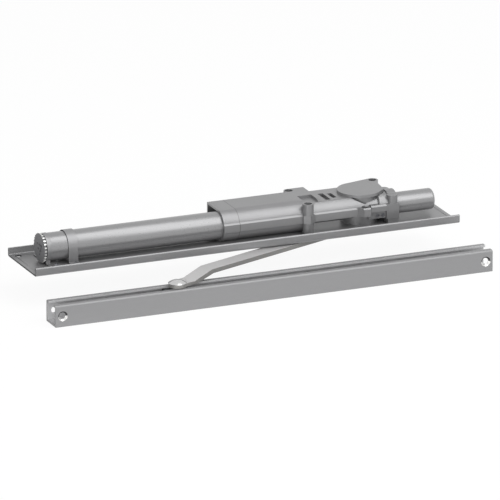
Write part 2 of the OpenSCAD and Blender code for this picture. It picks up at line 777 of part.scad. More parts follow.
module stud_clip() color("DarkGray") difference() {
  zcyl(stud, track_z1 - 23.3, track_z1 - 22.3, 8);
  zcyl(stud, track_z1 - 24, track_z1 - 22, 3.9);
}

module track_section() difference() {
  polygon([
    [-track_w / 2, 0], [track_w / 2, 0], [track_w / 2, track_h - track_edge],
    [track_w / 2 - track_edge, track_h], [track_edge - track_w / 2, track_h],
    [-track_w / 2, track_h - track_edge]
  ]);
  translate([track_t - track_w / 2, track_t])
    square([track_w - 2 * track_t, track_h - 2 * track_t]);
  translate([-slot_w / 2, track_h - track_t - 1]) square([slot_w, track_t + 2]);
}

module track_channel() color("Silver") difference() {
  translate([track_x0, stud[1], track_z0]) rotate([90, 0, 90])
    linear_extrude(track_l) track_section();
  for (x = [track_x0 + track_hole_end, track_x1 - track_hole_end]) {
    ycyl(x, (track_z0 + track_z1) / 2, stud[1] - 40, stud[1] + 40, track_hole_d / 2);
    ycyl(x, (track_z0 + track_z1) / 2, stud[1] - track_w / 2 - 0.01,
         stud[1] - track_w / 2 + 2.4, track_sink_d / 2, track_hole_d / 2 + 0.1);
  }
}

mounting_plate();
main_body();
pinion_cover();
cover_seal();
spring_tube();
tube_end_bracket();
tube_strap();
end_plug();
end_tube();
clamp_bracket();
upper_bearing();
lower_bearing();
pinion_seal();
body_screws();
foot_screws();
clamp_screws();
sweep_valve();
latch_valve();
spring_dial();
dial_screw();
adjusting_screw();
thrust_bearing();
adjusting_nut();
closer_spring();
spring_follower();
piston_rack();
piston_seal();
check_ball();
pinion_shaft();
closer_arm();
arm_screw();
arm_stud();
slide_shoe();
stud_clip();
track_channel();
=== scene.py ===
import json
import math

import bmesh
import bpy
import numpy as np
from bpy.props import FloatProperty, FloatVectorProperty, IntProperty, PointerProperty
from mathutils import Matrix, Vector

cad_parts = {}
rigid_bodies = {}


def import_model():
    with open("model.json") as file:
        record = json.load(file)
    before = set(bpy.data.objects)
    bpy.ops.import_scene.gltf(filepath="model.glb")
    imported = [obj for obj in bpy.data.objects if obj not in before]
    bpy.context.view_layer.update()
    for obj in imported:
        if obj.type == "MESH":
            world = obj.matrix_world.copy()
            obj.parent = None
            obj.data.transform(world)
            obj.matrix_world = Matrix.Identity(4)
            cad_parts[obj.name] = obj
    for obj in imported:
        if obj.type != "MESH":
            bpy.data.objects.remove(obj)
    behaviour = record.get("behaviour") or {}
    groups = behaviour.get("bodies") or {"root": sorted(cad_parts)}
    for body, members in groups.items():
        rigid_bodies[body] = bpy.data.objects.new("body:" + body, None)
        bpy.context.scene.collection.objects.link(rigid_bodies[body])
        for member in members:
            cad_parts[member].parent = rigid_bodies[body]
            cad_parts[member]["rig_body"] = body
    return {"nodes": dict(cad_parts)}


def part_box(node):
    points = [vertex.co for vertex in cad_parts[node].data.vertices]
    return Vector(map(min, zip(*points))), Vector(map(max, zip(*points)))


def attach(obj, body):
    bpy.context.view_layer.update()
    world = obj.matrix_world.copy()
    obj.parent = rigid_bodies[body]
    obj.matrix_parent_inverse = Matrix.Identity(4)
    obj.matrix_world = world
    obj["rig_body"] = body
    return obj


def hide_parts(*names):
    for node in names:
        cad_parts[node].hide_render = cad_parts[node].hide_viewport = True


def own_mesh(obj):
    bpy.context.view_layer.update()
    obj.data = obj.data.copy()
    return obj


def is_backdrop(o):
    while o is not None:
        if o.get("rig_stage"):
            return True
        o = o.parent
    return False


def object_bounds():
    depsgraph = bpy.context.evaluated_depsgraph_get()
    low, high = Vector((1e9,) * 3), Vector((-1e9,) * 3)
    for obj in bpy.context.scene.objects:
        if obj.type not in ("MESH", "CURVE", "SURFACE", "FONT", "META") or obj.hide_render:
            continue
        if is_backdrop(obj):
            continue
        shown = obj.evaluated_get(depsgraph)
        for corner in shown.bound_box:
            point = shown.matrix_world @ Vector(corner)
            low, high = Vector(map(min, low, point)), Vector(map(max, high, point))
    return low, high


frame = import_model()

bl_info = {
    "name": "Concealed door closer",
    "version": (1, 0, 0),
    "blender": (4, 5, 0),
    "location": "3D View > Sidebar > Door closer",
    "description": "Dresses the packed door closer with its finished pieces and a studio",
    "category": "Object",
}

MM = 0.001

SMOOTH_UNDER = 35       # degrees between two faces that are shaded as one
BEVEL_OVER = 32         # degrees between two faces whose edge is rounded
MERGE = 2e-6            # metres between loose corners that are one point

GRAIN_SHARE = 0.55      # of the fine noise in a colour, added to the whole broad noise
CLOUDS_PER_METRE = 22.0     # the broad noise, about 45 mm from one cloud to the next

SHADE_LINE_AT = 23 * MM       # from the housing's left end to the line of painted shade where its band ends
SHADE_LINE_WIDTH = 0.9 * MM   # from the line's middle to the full colour
SEAM_SHADE = 0.45       # share of the colour in the line's middle

HOLE_INSET = 8 * MM     # a sheet's holes lie further than this inside its sides

TUBE_WALL = 1.8 * MM
END_NOSE = 4.0 * MM     # rounding of the end tube's closed end
END_BORE = 11.5 * MM    # radius
END_WALL = 6 * MM       # thickness of the closed end
BORE_SEAM = 0.1         # metres into the spring tube: its profile closes there, unseen

LAND_FROM = 0.985       # share of the dial's radius where its teeth's tops begin

SPRING_WIRE = 4.8 * MM
SPRING_COILS = 21
SPRING_RADIUS = 14.4 * MM   # to the middle of the wire
SPRING_SEAT = 0.067     # share of the wire by which each end sinks into its seat

DOME_RISE = 4.2 * MM    # of the arm stud's head
PIN_RADIUS = 5 * MM
GROOVE_RADIUS = 3.9 * MM    # where the clip sits

COUNTERSINK_REACH = 7.5 * MM    # from the middle of the track's wall, up and down
TRACK_WALL = 1.5 * MM   # faces deeper than this are the track's inside
TRACK_LIP = 0.5 * MM    # and under this at its top

FLOOR_HALF = 40.0       # metres from the floor's middle to its sides
FLOOR_SHADOW = 0.08     # share of the paper's own shading that is seen on it
AIM_RIGHT, AIM_UP = 0.020277, -0.014249     # the picture's middle, from the origin


def linear(code):
    """An sRGB hex colour as linear red, green, blue and alpha."""
    code = code.lstrip("#")
    values = [int(code[i:i + 2], 16) / 255 for i in (0, 2, 4)]
    return [v / 12.92 if v <= 0.04045 else ((v + 0.055) / 1.055) ** 2.4
            for v in values] + [1.0]


# Sizes and colours that a user would change

def length(name, description, default, low, high):
    """A length property in metres, shown in the scene's unit."""
    return FloatProperty(name=name, description=description, default=default,
                         min=low, max=high, precision=4, subtype="DISTANCE",
                         unit="LENGTH")


class HousingSettings(bpy.types.PropertyGroup):
    edge: length("Casting edge", "Rounding of the casting's edges",
                 0.0006, 0.0002, 0.0015)
    paint: FloatVectorProperty(
        name="Paint", description="Colour of the aluminium paint",
        default=linear("848485")[:3], size=3, min=0, max=1, subtype="COLOR")


class SheetSettings(bpy.types.PropertyGroup):
    edge: length("Sheet edge", "Rounding of the sheared edges",
                 0.0004, 0.0001, 0.0008)


class TubeSettings(bpy.types.PropertyGroup):
    lip: length("Tube lip", "Rounding of the tubes' cut ends", 0.0004, 0.0001, 0.0008)
    sides: IntProperty(name="Sides", description="Facets round each tube",
                       default=160, min=48, max=256)


class DialSettings(bpy.types.PropertyGroup):
    burr: length("Tooth edge", "Rounding of the dial's teeth and holes",
                 0.0002, 0.0001, 0.0004)


class SpringSettings(bpy.types.PropertyGroup):
    sides: IntProperty(name="Wire sides", description="Facets round the spring wire",
                       default=16, min=8, max=32)
    steps: IntProperty(name="Steps", description="Rings along each coil",
                       default=36, min=16, max=72)


class StageSettings(bpy.types.PropertyGroup):
    floor_z: FloatProperty(
        name="Floor height", description="Height of the studio floor",
        default=-0.0459, subtype="DISTANCE", unit="LENGTH")
    lens: FloatProperty(
        name="Lens", description="Focal length of the studio camera in millimetres",
        default=768.1, min=50, max=2000)
    azimuth: FloatProperty(
        name="Azimuth", description="Camera angle round the closer",
        default=math.radians(-22.78), subtype="ANGLE")
    elevation: FloatProperty(
        name="Elevation", description="Camera angle over the horizon",
        default=math.radians(17.72), subtype="ANGLE")
    distance: FloatProperty(
        name="Distance", description="Camera distance from the closer",
        default=14.3863, subtype="DISTANCE", unit="LENGTH")


# Meshes

def takes_place(obj, node):
    """Lets a piece ride on a CAD node's body, in that node's place, and hides the node."""
    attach(obj, frame["nodes"][node]["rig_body"])
    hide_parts(node)


def new_piece(name, points, faces, material, node, smooth=SMOOTH_UNDER):
    """A mesh object from arrays of points in metres and faces, in a CAD node's place:
    its points are welded, and its faces shaded smooth up to an angle."""
    mesh = bpy.data.meshes.new(name)
    mesh.from_pydata(np.asarray(points, float).tolist(), [],
                     [list(map(int, f)) for f in faces])
    mesh.validate()
    obj = bpy.data.objects.new(name, mesh)
    bpy.context.scene.collection.objects.link(obj)
    bm = bmesh.new()
    bm.from_mesh(mesh)
    bmesh.ops.remove_doubles(bm, verts=bm.verts, dist=1e-7)
    loose = [edge for edge in bm.edges if not edge.link_faces]
    bmesh.ops.delete(bm, geom=loose, context="EDGES")
    bmesh.ops.recalc_face_normals(bm, faces=bm.faces)
    shade(bm, smooth)
    bm.to_mesh(mesh)
    bm.free()
    mesh.materials.append(material)
    takes_place(obj, node)
    return obj


def shade(bm, smooth):
    """Smooth faces with sharp edges where two faces turn by more than an angle."""
    limit = math.radians(smooth)
    for face in bm.faces:
        face.smooth = True
    for edge in bm.edges:
        edge.smooth = edge.is_manifold and edge.calc_face_angle(0) < limit


def eased_copy(node, name, material, edge, segments=2):
    """A copy of a CAD node with rounded edges: its points are merged, then a bevel of
    a given width runs along each edge between faces that turn by more than an angle."""
    mesh = frame["nodes"][node].data.copy()
    mesh.name = name
    obj = bpy.data.objects.new(name, mesh)
    bpy.context.scene.collection.objects.link(obj)
    bm = bmesh.new()
    bm.from_mesh(mesh)
    bmesh.ops.remove_doubles(bm, verts=bm.verts, dist=MERGE)
    shade(bm, SMOOTH_UNDER)
    bm.to_mesh(mesh)
    bm.free()
    mesh.materials.clear()
    mesh.materials.append(material)
    bevel = obj.modifiers.new("edge", "BEVEL")
    bevel.width = edge
    bevel.segments = segments
    bevel.limit_method = "ANGLE"
    bevel.angle_limit = math.radians(BEVEL_OVER)
    bevel.miter_outer = "MITER_ARC"
    bevel.use_clamp_overlap = True
    even = obj.modifiers.new("even", "WEIGHTED_NORMAL")
    even.keep_sharp = True
    even.weight = 100
    takes_place(obj, node)
    return obj


def grid_faces(rows, columns):
    """Quads between the points of a grid that is stored row by row, where each row is
    a closed ring."""
    row = np.arange(rows - 1)[:, None] * columns
    here = np.arange(columns)[None, :]
    beside = (here + 1) % columns
    following = row + columns
    return np.stack([row + here, row + beside, following + beside, following + here],
                    -1).reshape(-1, 4)


def rounded_profile(corners, radii, steps):
    """A profile with its corners rounded: each corner becomes an arc, worked out as a
    quadratic between the two points that lie its radius away from the corner."""
    pts = np.asarray(corners, float)
    out = []
    for i, (p, r) in enumerate(zip(pts, radii)):
        if r <= 0 or i in (0, len(pts) - 1):
            out.append(p[None])
            continue
        a, b = pts[i - 1] - p, pts[i + 1] - p
        la, lb = np.linalg.norm(a), np.linalg.norm(b)
        r1 = min(r, la * 0.49, lb * 0.49)
        t = np.linspace(0, 1, steps + 1)[:, None]
        pa, pb = p + a / la * r1, p + b / lb * r1
        out.append((1 - t) ** 2 * pa + 2 * t * (1 - t) * p + t ** 2 * pb)
    return np.concatenate(out)


def turned(profile, centre, axis, sides):
    """A turned surface: each profile point (along, radius) goes round an axis, at
    centre + along * axis + radius * (cos a, sin a) in the plane across it."""
    profile = np.asarray(profile, float)
    a = np.linspace(0, 2 * np.pi, sides, endpoint=False)
    along = profile[:, 0:1] + 0 * a
    u = profile[:, 1:2] * np.cos(a)
    v = profile[:, 1:2] * np.sin(a)
    order = {"X": (along, u, v), "Y": (v, along, u), "Z": (u, v, along)}[axis]
    points = np.stack(order, -1).reshape(-1, 3) + np.asarray(centre, float)
    return points, grid_faces(len(profile), sides)


# Materials

def add_node(tree, kind, links=None, settings=None, **inputs):
    """A node of a kind with its settings, its socket values and what is linked in."""
    node = tree.nodes.new(kind)
    for name, value in (settings or {}).items():
        setattr(node, name, value)
    for name, value in inputs.items():
        node.inputs[name.replace("_", " ")].default_value = value
    for name, source in (links or {}).items():
        tree.links.new(source, node.inputs[name])
    return node


def surface(name, colour, metallic, roughness, grain_mm, bump=0.02, spread=0.06,
            stretch=(1, 1, 1), rough_spread=0.08, seam=None):
    """A finish whose colour, roughness and height vary with noise of a real grain size in
    millimetres, on the piece's own coordinates. A seam is a thin line of painted shade
    across the closer at one place along it, where the housing's band ends."""
    mat = bpy.data.materials.new(name)
    mat.use_nodes = True
    tree = mat.node_tree
    tree.nodes.clear()
    place = add_node(tree, "ShaderNodeTexCoord")
    scaled = add_node(tree, "ShaderNodeMapping", {"Vector": place.outputs["Object"]})
    scaled.inputs["Scale"].default_value = stretch
    vector = scaled.outputs["Vector"]
    grain = add_node(tree, "ShaderNodeTexNoise", {"Vector": vector},
                     Scale=1000 / grain_mm, Detail=4.0, Roughness=0.55)
    cloud = add_node(tree, "ShaderNodeTexNoise", {"Vector": vector},
                     Scale=CLOUDS_PER_METRE, Detail=3.0, Roughness=0.5)
    mixed = add_node(tree, "ShaderNodeMath", {0: grain.outputs["Fac"]},
                     {"operation": "MULTIPLY_ADD"})
    mixed.inputs[1].default_value = GRAIN_SHARE
    tree.links.new(cloud.outputs["Fac"], mixed.inputs[2])
    low = [c * (1 - spread) for c in colour[:3]] + [1]
    high = [min(1, c * (1 + spread)) for c in colour[:3]] + [1]
    ramp = add_node(tree, "ShaderNodeValToRGB", {"Fac": mixed.outputs["Value"]})
    ramp.color_ramp.elements[0].position = 0.45
    ramp.color_ramp.elements[0].color = low
    ramp.color_ramp.elements[1].position = 1.05
    ramp.color_ramp.elements[1].color = high
    rough = add_node(tree, "ShaderNodeMapRange", {"Value": grain.outputs["Fac"]})
    rough.inputs["To Min"].default_value = roughness - rough_spread
    rough.inputs["To Max"].default_value = roughness + rough_spread
    height = add_node(tree, "ShaderNodeBump", {"Height": grain.outputs["Fac"]},
                      Strength=bump, Distance=grain_mm * MM)
    skin = ramp.outputs["Color"]
    # painted shade: a dark line where the housing's band ends
    if seam is not None:
        skin = darkened_at(tree, place.outputs["Object"], skin, seam)
    shader = add_node(tree, "ShaderNodeBsdfPrincipled",
                      {"Base Color": skin, "Roughness": rough.outputs["Result"],
                       "Normal": height.outputs["Normal"]}, Metallic=metallic)
    add_node(tree, "ShaderNodeOutputMaterial", {"Surface": shader.outputs["BSDF"]})
    return mat


def darkened_at(tree, vector, colour, x):
    """A colour with a soft line of painted shade across X: its share of the full colour
    rises evenly from the seam's shade at X = x to 1 at |X - x| = the seam's width."""
    parts = add_node(tree, "ShaderNodeSeparateXYZ", {"Vector": vector})
    away = add_node(tree, "ShaderNodeMath", {0: parts.outputs["X"]},
                    {"operation": "SUBTRACT"})
    away.inputs[1].default_value = x
    size = add_node(tree, "ShaderNodeMath", {0: away.outputs["Value"]},
                    {"operation": "ABSOLUTE"})
    line = add_node(tree, "ShaderNodeMapRange", {"Value": size.outputs["Value"]})
    line.inputs["From Max"].default_value = SHADE_LINE_WIDTH
    line.inputs["To Min"].default_value = SEAM_SHADE
    line.inputs["To Max"].default_value = 1.0
    return add_node(tree, "ShaderNodeVectorMath", {0: colour, 1: line.outputs["Result"]},
                    {"operation": "MULTIPLY"}).outputs["Vector"]


# Finishes

def finishes(paint_colour):
    """One material for each finish that the closer has."""
    paint = list(paint_colour) + [1.0]
    sheet_paint = [1.07 * value for value in paint_colour] + [1.0]
    return {
        # sprayed aluminium paint over sand-cast iron: soft sheen, slightly rough skin, and
        # a line of painted shade where the housing's band ends
        "cast": surface("aluminium_paint_on_sand_casting", paint, 0.55, 0.36, 1.4,
                        bump=0.06, spread=0.05,
                        seam=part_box("main_body")[0][0] + SHADE_LINE_AT),
        # the same paint on cold-rolled sheet: smoother
        "sheet": surface("aluminium_paint_on_rolled_sheet", sheet_paint, 0.55, 0.40, 0.9,
                         bump=0.03, spread=0.03),
        # paint on drawn tube: the glossiest of the painted faces
        "tube": surface("aluminium_paint_on_drawn_tube", linear("8a8a8b"), 0.5, 0.28,
                        0.8, bump=0.003, spread=0.02, stretch=(0.25, 1, 1),
                        rough_spread=0.02),
        # painted shade: a dark colour on the sheets' ends and hole walls, and on the
        # track's countersinks where they look down, for the shade those faces fall in
        "edge": surface("painted_shade_on_sheet_edges", linear("2a2a2c"), 0.2, 0.6, 0.5,
                        bump=0.05, spread=0.10),
        # extruded aluminium, clear finish: fine lines along its length
        "track": surface("extruded_aluminium_clear_finish", linear("888889"), 0.3,
                         0.48, 0.6, bump=0.02, spread=0.03, stretch=(0.04, 1, 1)),
        # painted light: the track's inside, made paler than the outside to lighten the
        # shade it lies in
        "channel": surface("extruded_aluminium_painted_light_inside", linear("b8b8b9"), 0.3, 0.45,
                           0.6, bump=0.02, spread=0.03, stretch=(0.04, 1, 1)),
        # pressed steel arm, paler paint
        "arm": surface("aluminium_paint_on_pressed_arm", linear("bab9b9"), 0.3, 0.36,
                       0.9, bump=0.04, spread=0.04),
        # painted shade: the arm's sides, in a darker copy of its paint for the shade they
        # fall in
        "arm_side_shade": surface("aluminium_paint_painted_shade_on_arm_sides", linear("848381"), 0.35, 0.40,
                         0.9, bump=0.04, spread=0.04),
        # sintered steel dial, steam blackened: dull and dark
        "dial": surface("steam_blackened_sintered_steel", linear("676769"), 0.3, 0.55,
                        0.6, bump=0.08, spread=0.10),
        # tops of the dial's teeth, turned bright after blackening; on the track's
        # countersinks the same bright steel is a painted highlight where they look up
        "land": surface("turned_bright_steel_and_painted_highlight", linear("dcdcda"), 0.8, 0.30, 0.5,
                        bump=0.02, spread=0.03),
        # zinc-plated screws: bright, a little cloudy
        "zinc": surface("zinc_plated_cold_headed_steel", linear("8d8e92"), 0.9, 0.33,
                        0.5, bump=0.02, spread=0.05),
        # ground bearing steel: the brightest metal
        "ground": surface("ground_bearing_steel", linear("b4b5b8"), 1.0, 0.18, 0.3,
                          bump=0.01, spread=0.02, rough_spread=0.03),
        # hobbed and hardened steel: darker, satin
        "gear": surface("hobbed_hardened_steel", linear("84848a"), 1.0, 0.32, 0.4,
                        bump=0.02, spread=0.05),
        # oil-tempered spring wire: dark blue-grey and slick
        "wire": surface("oil_tempered_spring_wire", linear("4a4c50"), 0.9, 0.30, 0.4,
                        bump=0.03, spread=0.08),
        # moulded nitrile rubber: black and dull
        "rubber": surface("moulded_nitrile_rubber", linear("1b1b1c"), 0.0, 0.55, 0.5,
                          bump=0.03, spread=0.10),
        # nickel-plated stud head: a mirror gone slightly soft
        "dome": surface("nickel_plated_cold_headed_steel", linear("c4c4c4"), 1.0, 0.22,
                        0.4, bump=0.01, spread=0.02),
        # moulded nylon, painted dark grey for the shade it lies in under the arm's head:
        # soft sheen
        "nylon": surface("moulded_nylon_painted_shade", linear("3a3a3c"), 0.0, 0.42, 0.7,
                         bump=0.02, spread=0.02),
    }


# Stage

def seen_rays(tree):
    """1 for rays that show the background: camera, glossy and transmission rays."""
    path = add_node(tree, "ShaderNodeLightPath")
    first = add_node(tree, "ShaderNodeMath", {0: path.outputs["Is Camera Ray"],
                                              1: path.outputs["Is Glossy Ray"]},
                     {"operation": "MAXIMUM"})
    return add_node(tree, "ShaderNodeMath", {0: first.outputs["Value"],
                                             1: path.outputs["Is Transmission Ray"]},
                    {"operation": "MAXIMUM"}).outputs["Value"]


def paper_roll():
    """White paper that keeps a light shadow where it is seen, and throws back only a
    part of the light, so that undersides stay darker than tops. Seen from beneath it
    is clear, so that the closer's underside can be looked at."""
    mat = bpy.data.materials.new("matt_white_paper_roll")
    mat.use_nodes = True
    tree = mat.node_tree
    tree.nodes.clear()
    white = add_node(tree, "ShaderNodeEmission", Color=(1, 1, 1, 1), Strength=1.0)
    paper = add_node(tree, "ShaderNodeBsdfDiffuse", Color=linear("ffffff"))
    dull = add_node(tree, "ShaderNodeBsdfDiffuse", Color=linear("d0d0d0"))
    shown = add_node(tree, "ShaderNodeMixShader", {1: white.outputs["Emission"],
                                                   2: paper.outputs["BSDF"]})
    shown.inputs[0].default_value = FLOOR_SHADOW
    both = add_node(tree, "ShaderNodeMixShader", {0: seen_rays(tree),
                                                  1: dull.outputs["BSDF"],
                                                  2: shown.outputs["Shader"]})
    side = add_node(tree, "ShaderNodeNewGeometry")
    clear = add_node(tree, "ShaderNodeBsdfTransparent")
    one_way = add_node(tree, "ShaderNodeMixShader", {0: side.outputs["Backfacing"],
                                                     1: both.outputs["Shader"],
                                                     2: clear.outputs["BSDF"]})
    add_node(tree, "ShaderNodeOutputMaterial", {"Surface": one_way.outputs["Shader"]})
    return mat


def build_stage(settings):
    """Floor, world, lamps and the camera at the photograph's angle."""
    scene = bpy.context.scene
    scene.view_settings.view_transform = "Standard"
    half, z = FLOOR_HALF, settings.floor_z
    mesh = bpy.data.meshes.new("studio_floor")
    mesh.from_pydata([(-half, -half, z), (half, -half, z), (half, half, z),
                      (-half, half, z)], [], [(0, 1, 2, 3)])
    floor = bpy.data.objects.new("studio_floor", mesh)
    scene.collection.objects.link(floor)
    mesh.materials.append(paper_roll())
    floor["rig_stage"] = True

    world = bpy.data.worlds.new("studio_daylight")
    scene.world = world
    world.use_nodes = True
    tree = world.node_tree
    tree.nodes.clear()
    # the room is brighter in front, and dimmer on the dial's side and behind
    place = add_node(tree, "ShaderNodeTexCoord")
    ahead = add_node(tree, "ShaderNodeVectorMath", {0: place.outputs["Object"]},
                     {"operation": "DOT_PRODUCT"})
    ahead.inputs[1].default_value = (0.6, -0.8, 0)
    room = add_node(tree, "ShaderNodeMapRange", {"Value": ahead.outputs["Value"]})
    for name, value in (("From Min", -1), ("From Max", 1), ("To Min", 0.1),
                        ("To Max", 1.1)):
        room.inputs[name].default_value = value
    lit = add_node(tree, "ShaderNodeBackground", {"Strength": room.outputs["Result"]},
                   Color=(1, 1, 1, 1))
    shown = add_node(tree, "ShaderNodeBackground", Color=(1, 1, 1, 1), Strength=1.0)
    both = add_node(tree, "ShaderNodeMixShader", {0: seen_rays(tree),
                                                  1: lit.outputs["Background"],
                                                  2: shown.outputs["Background"]})
    add_node(tree, "ShaderNodeOutputWorld", {"Surface": both.outputs["Shader"]})

    lamps = (
        ("overhead_softbox", (0.7, -0.9, 1.7), 1.3, 2.4, 25.0),
        ("camera_fill", (-2.4, -3.3, 0.7), 2.2, 1.2, 78.0),
    )
    for name, place, width, depth, watts in lamps:
        light = bpy.data.lights.new(name, "AREA")
        light.shape = "RECTANGLE"
        light.size, light.size_y = width, depth
        light.energy = watts
        lamp = bpy.data.objects.new(name, light)
        lamp.location = place
        lamp.rotation_euler = (-Vector(place)).to_track_quat("-Z", "Y").to_euler()
        scene.collection.objects.link(lamp)

    az, el = settings.azimuth, settings.elevation
    right = Vector((math.cos(az), math.sin(az), 0))
    back = Vector((math.sin(az) * math.cos(el), -math.cos(az) * math.cos(el),
                   math.sin(el)))
    up = back.cross(right)
    data = bpy.data.cameras.new("studio_camera")
    data.sensor_width = 36.0
    data.lens = settings.lens
    data.clip_start, data.clip_end = 0.5, 100.0
    camera = bpy.data.objects.new("studio_camera", data)
    camera.location = right * AIM_RIGHT + up * AIM_UP + back * settings.distance
    camera.rotation_euler = back.to_track_quat("Z", "Y").to_euler()
    scene.collection.objects.link(camera)
    scene.camera = camera


# Operators, one for each group of pieces

MADE = {}


def shared(context):
    """The finishes, made once for the whole closer."""
    if not MADE:
        MADE.update(finishes(context.scene.closer_housing.paint))
    return MADE


def dress(material, *nodes):
    """Gives CAD nodes that keep their own shape a finish."""
    for name in nodes:
        obj = frame["nodes"][name]
        obj.data.materials.clear()
        obj.data.materials.append(material)


class DOORCLOSER_OT_plate(bpy.types.Operator):
    """Adds the mounting plate and the pressed straps that hold the tube"""
    bl_idname = "door_closer.plate"
    bl_label = "Plate and straps"

    def execute(self, context):
        skin = shared(context)
        edge = context.scene.closer_sheet.edge
        plate = eased_copy("mounting_plate", "plate_with_eased_edges", skin["sheet"],
                           edge)
        # painted shade on the plate's ends and hole walls
        paint_shade_on_edges(plate, skin["edge"], *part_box("mounting_plate"))
        for node, name in (("tube_strap", "pressed_tube_strap"),
                           ("tube_end_bracket", "pressed_end_bracket")):
            strap = eased_copy(node, name, skin["sheet"], edge * 0.6)
            # painted shade on the straps' ends
            paint_shade_on_edges(strap, skin["edge"], *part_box(node), ends_only=True)
        return {"FINISHED"}


class DOORCLOSER_OT_housing(bpy.types.Operator):
    """Adds the castings: housing, pinion cover and clamp"""
    bl_idname = "door_closer.housing"
    bl_label = "Castings"

    def execute(self, context):
        skin = shared(context)
        edge = context.scene.closer_housing.edge
        eased_copy("main_body", "cast_housing", skin["cast"], edge, 3)
        eased_copy("pinion_cover", "cast_pinion_cover", skin["cast"], edge, 3)
        eased_copy("clamp_bracket", "cast_clamp", skin["cast"], edge, 3)
        return {"FINISHED"}


class DOORCLOSER_OT_tubes(bpy.types.Operator):
    """Adds the spring tube and the end tube as turned surfaces, and dresses the plug"""
    bl_idname = "door_closer.tubes"
    bl_label = "Tubes"

    def execute(self, context):
        skin = shared(context)
        settings = context.scene.closer_tube
        for node, name, outline in (("spring_tube", "drawn_spring_tube", open_tube),
                                    ("end_tube", "drawn_end_tube", closed_tube)):
            low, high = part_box(node)
            profile = outline(low[0], high[0], (high[2] - low[2]) / 2, settings.lip)
            points, faces = turned(profile, (0, 0, (low[2] + high[2]) / 2), "X",
                                   settings.sides)
            new_piece(name, points, faces, skin["tube"], node)
        dress(skin["zinc"], "end_plug")
        return {"FINISHED"}


def open_tube(start, stop, outer, lip):
    """The profile of a tube with two open ends: out over the wall's four rounded
    corners, and back to where it began on the bore."""
    inner, seam = outer - TUBE_WALL, start + BORE_SEAM
    corners = [(seam, inner), (start, inner), (start, outer), (stop, outer),
               (stop, inner), (seam, inner)]
    return rounded_profile(corners, [0, lip, lip, lip, lip, 0], 4)


def closed_tube(start, stop, outer, lip):
    """The profile of a tube with a round nose: over the outside to the nose's middle,
    and back from the bore's floor along the bore."""
    outside = [(start, END_BORE), (start, outer), (stop, outer), (stop, 0)]
    bore = [(stop - END_WALL, 0), (stop - END_WALL, END_BORE), (start, END_BORE)]
    return np.concatenate(
        [rounded_profile(outside, [0, lip, END_NOSE, 0], 8), np.array(bore)])


class DOORCLOSER_OT_dial(bpy.types.Operator):
    """Adds the toothed dial, and dresses the screw that it turns"""
    bl_idname = "door_closer.dial"
    bl_label = "Spring dial"

    def execute(self, context):
        skin = shared(context)
        burr = context.scene.closer_dial.burr
        dial = eased_copy("spring_dial", "toothed_dial", skin["dial"], burr)
        low, high = np.array(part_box("spring_dial"))
        brighten_lands(dial, skin["land"], (low + high) / 2, high[2] - low[2])
        eased_copy("dial_screw", "dial_centre_screw", skin["dial"], burr)
        dress(skin["gear"], "adjusting_screw", "adjusting_nut")
        dress(skin["ground"], "thrust_bearing")
        return {"FINISHED"}


def paint_shade_on_edges(obj, material, low, high, ends_only=False):
    """Paints shade on a sheet in a second, dark material: on the ends that look along X,
    and on the walls of its holes."""
    obj.data.materials.append(material)
    for face in obj.data.polygons:
        inside = low[1] + HOLE_INSET < face.center[1] < high[1] - HOLE_INSET
        if abs(face.normal.x) > 0.9 or (
                inside and abs(face.normal.z) < 0.5 and not ends_only):
            face.material_index = 1


def brighten_lands(dial, material, centre, width):
    """Gives the tops of the dial's teeth, the faces that look outwards at its full
    radius, a second finish."""
    dial.data.materials.append(material)
    for face in dial.data.polygons:
        out = np.array(face.center) - centre
        radius = math.hypot(out[1], out[2])
        if abs(face.normal.x) < 0.3 and radius > width / 2 * LAND_FROM:
            face.material_index = 1


class DOORCLOSER_OT_spring(bpy.types.Operator):
    """Adds the closer spring, a round wire in two halves that both ride on the spring's
    own body
    """
    bl_idname = "door_closer.spring"
    bl_label = "Closer spring"

    def execute(self, context):
        skin = shared(context)
        settings = context.scene.closer_spring
        low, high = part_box("closer_spring")
        seat = SPRING_SEAT * SPRING_WIRE
        start, stop, z = low[0] - seat, high[0] + seat, (low[2] + high[2]) / 2
        for name, joint, t in (("closer_spring_dial_half", "nut_slide", (0, 0.5)),
                               ("closer_spring_piston_half", "piston_slide", (0.5, 1))):
            points, faces = wound_wire(start, stop - start, z, settings.steps,
                                       settings.sides, t)
            half = new_piece(name, points, faces, skin["wire"], "closer_spring", 60)
            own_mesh(half)
        dress(skin["gear"], "spring_follower")
        return {"FINISHED"}


def wound_wire(x0, reach, z, steps, sides, part):
    """Part of a wire along a helix with closer end coils. At t in 0..1 its centre is
    (x0 + w/2 + (L - w) * f(t), R cos(2 pi c t), z + R sin(2 pi c t)), with w the
    wire's thickness, L the spring's reach, R its radius and c its coils, where f runs
    at 0.55 of the mean pitch in the first and last 0.075 of t, and evenly between. A
    circle of the wire's radius goes round that centre, in the plane of X and R."""
    n = int(SPRING_COILS * steps * (part[1] - part[0])) + 1
    t = np.linspace(*part, n)
    end, slow = 0.075, 0.55
    f = np.where(t < end, t * slow, np.where(
        t > 1 - end, 1 - (1 - t) * slow,
        end * slow + (t - end) * (1 - 2 * slow * end) / (1 - 2 * end)))
    a = 2 * np.pi * SPRING_COILS * t[:, None]
    b = np.linspace(0, 2 * np.pi, sides, endpoint=False)[None, :]
    half = SPRING_WIRE / 2
    ring = SPRING_RADIUS + half * np.cos(b)
    x = x0 + half + (reach - SPRING_WIRE) * f[:, None] + half * np.sin(b) + 0 * a
    points = np.stack([x, ring * np.cos(a), z + ring * np.sin(a)], -1).reshape(-1, 3)
    faces = grid_faces(n, sides).tolist()
    faces.append(list(range(sides)))
    faces.append(list(range((n - 1) * sides, n * sides))[::-1])
    return points, faces


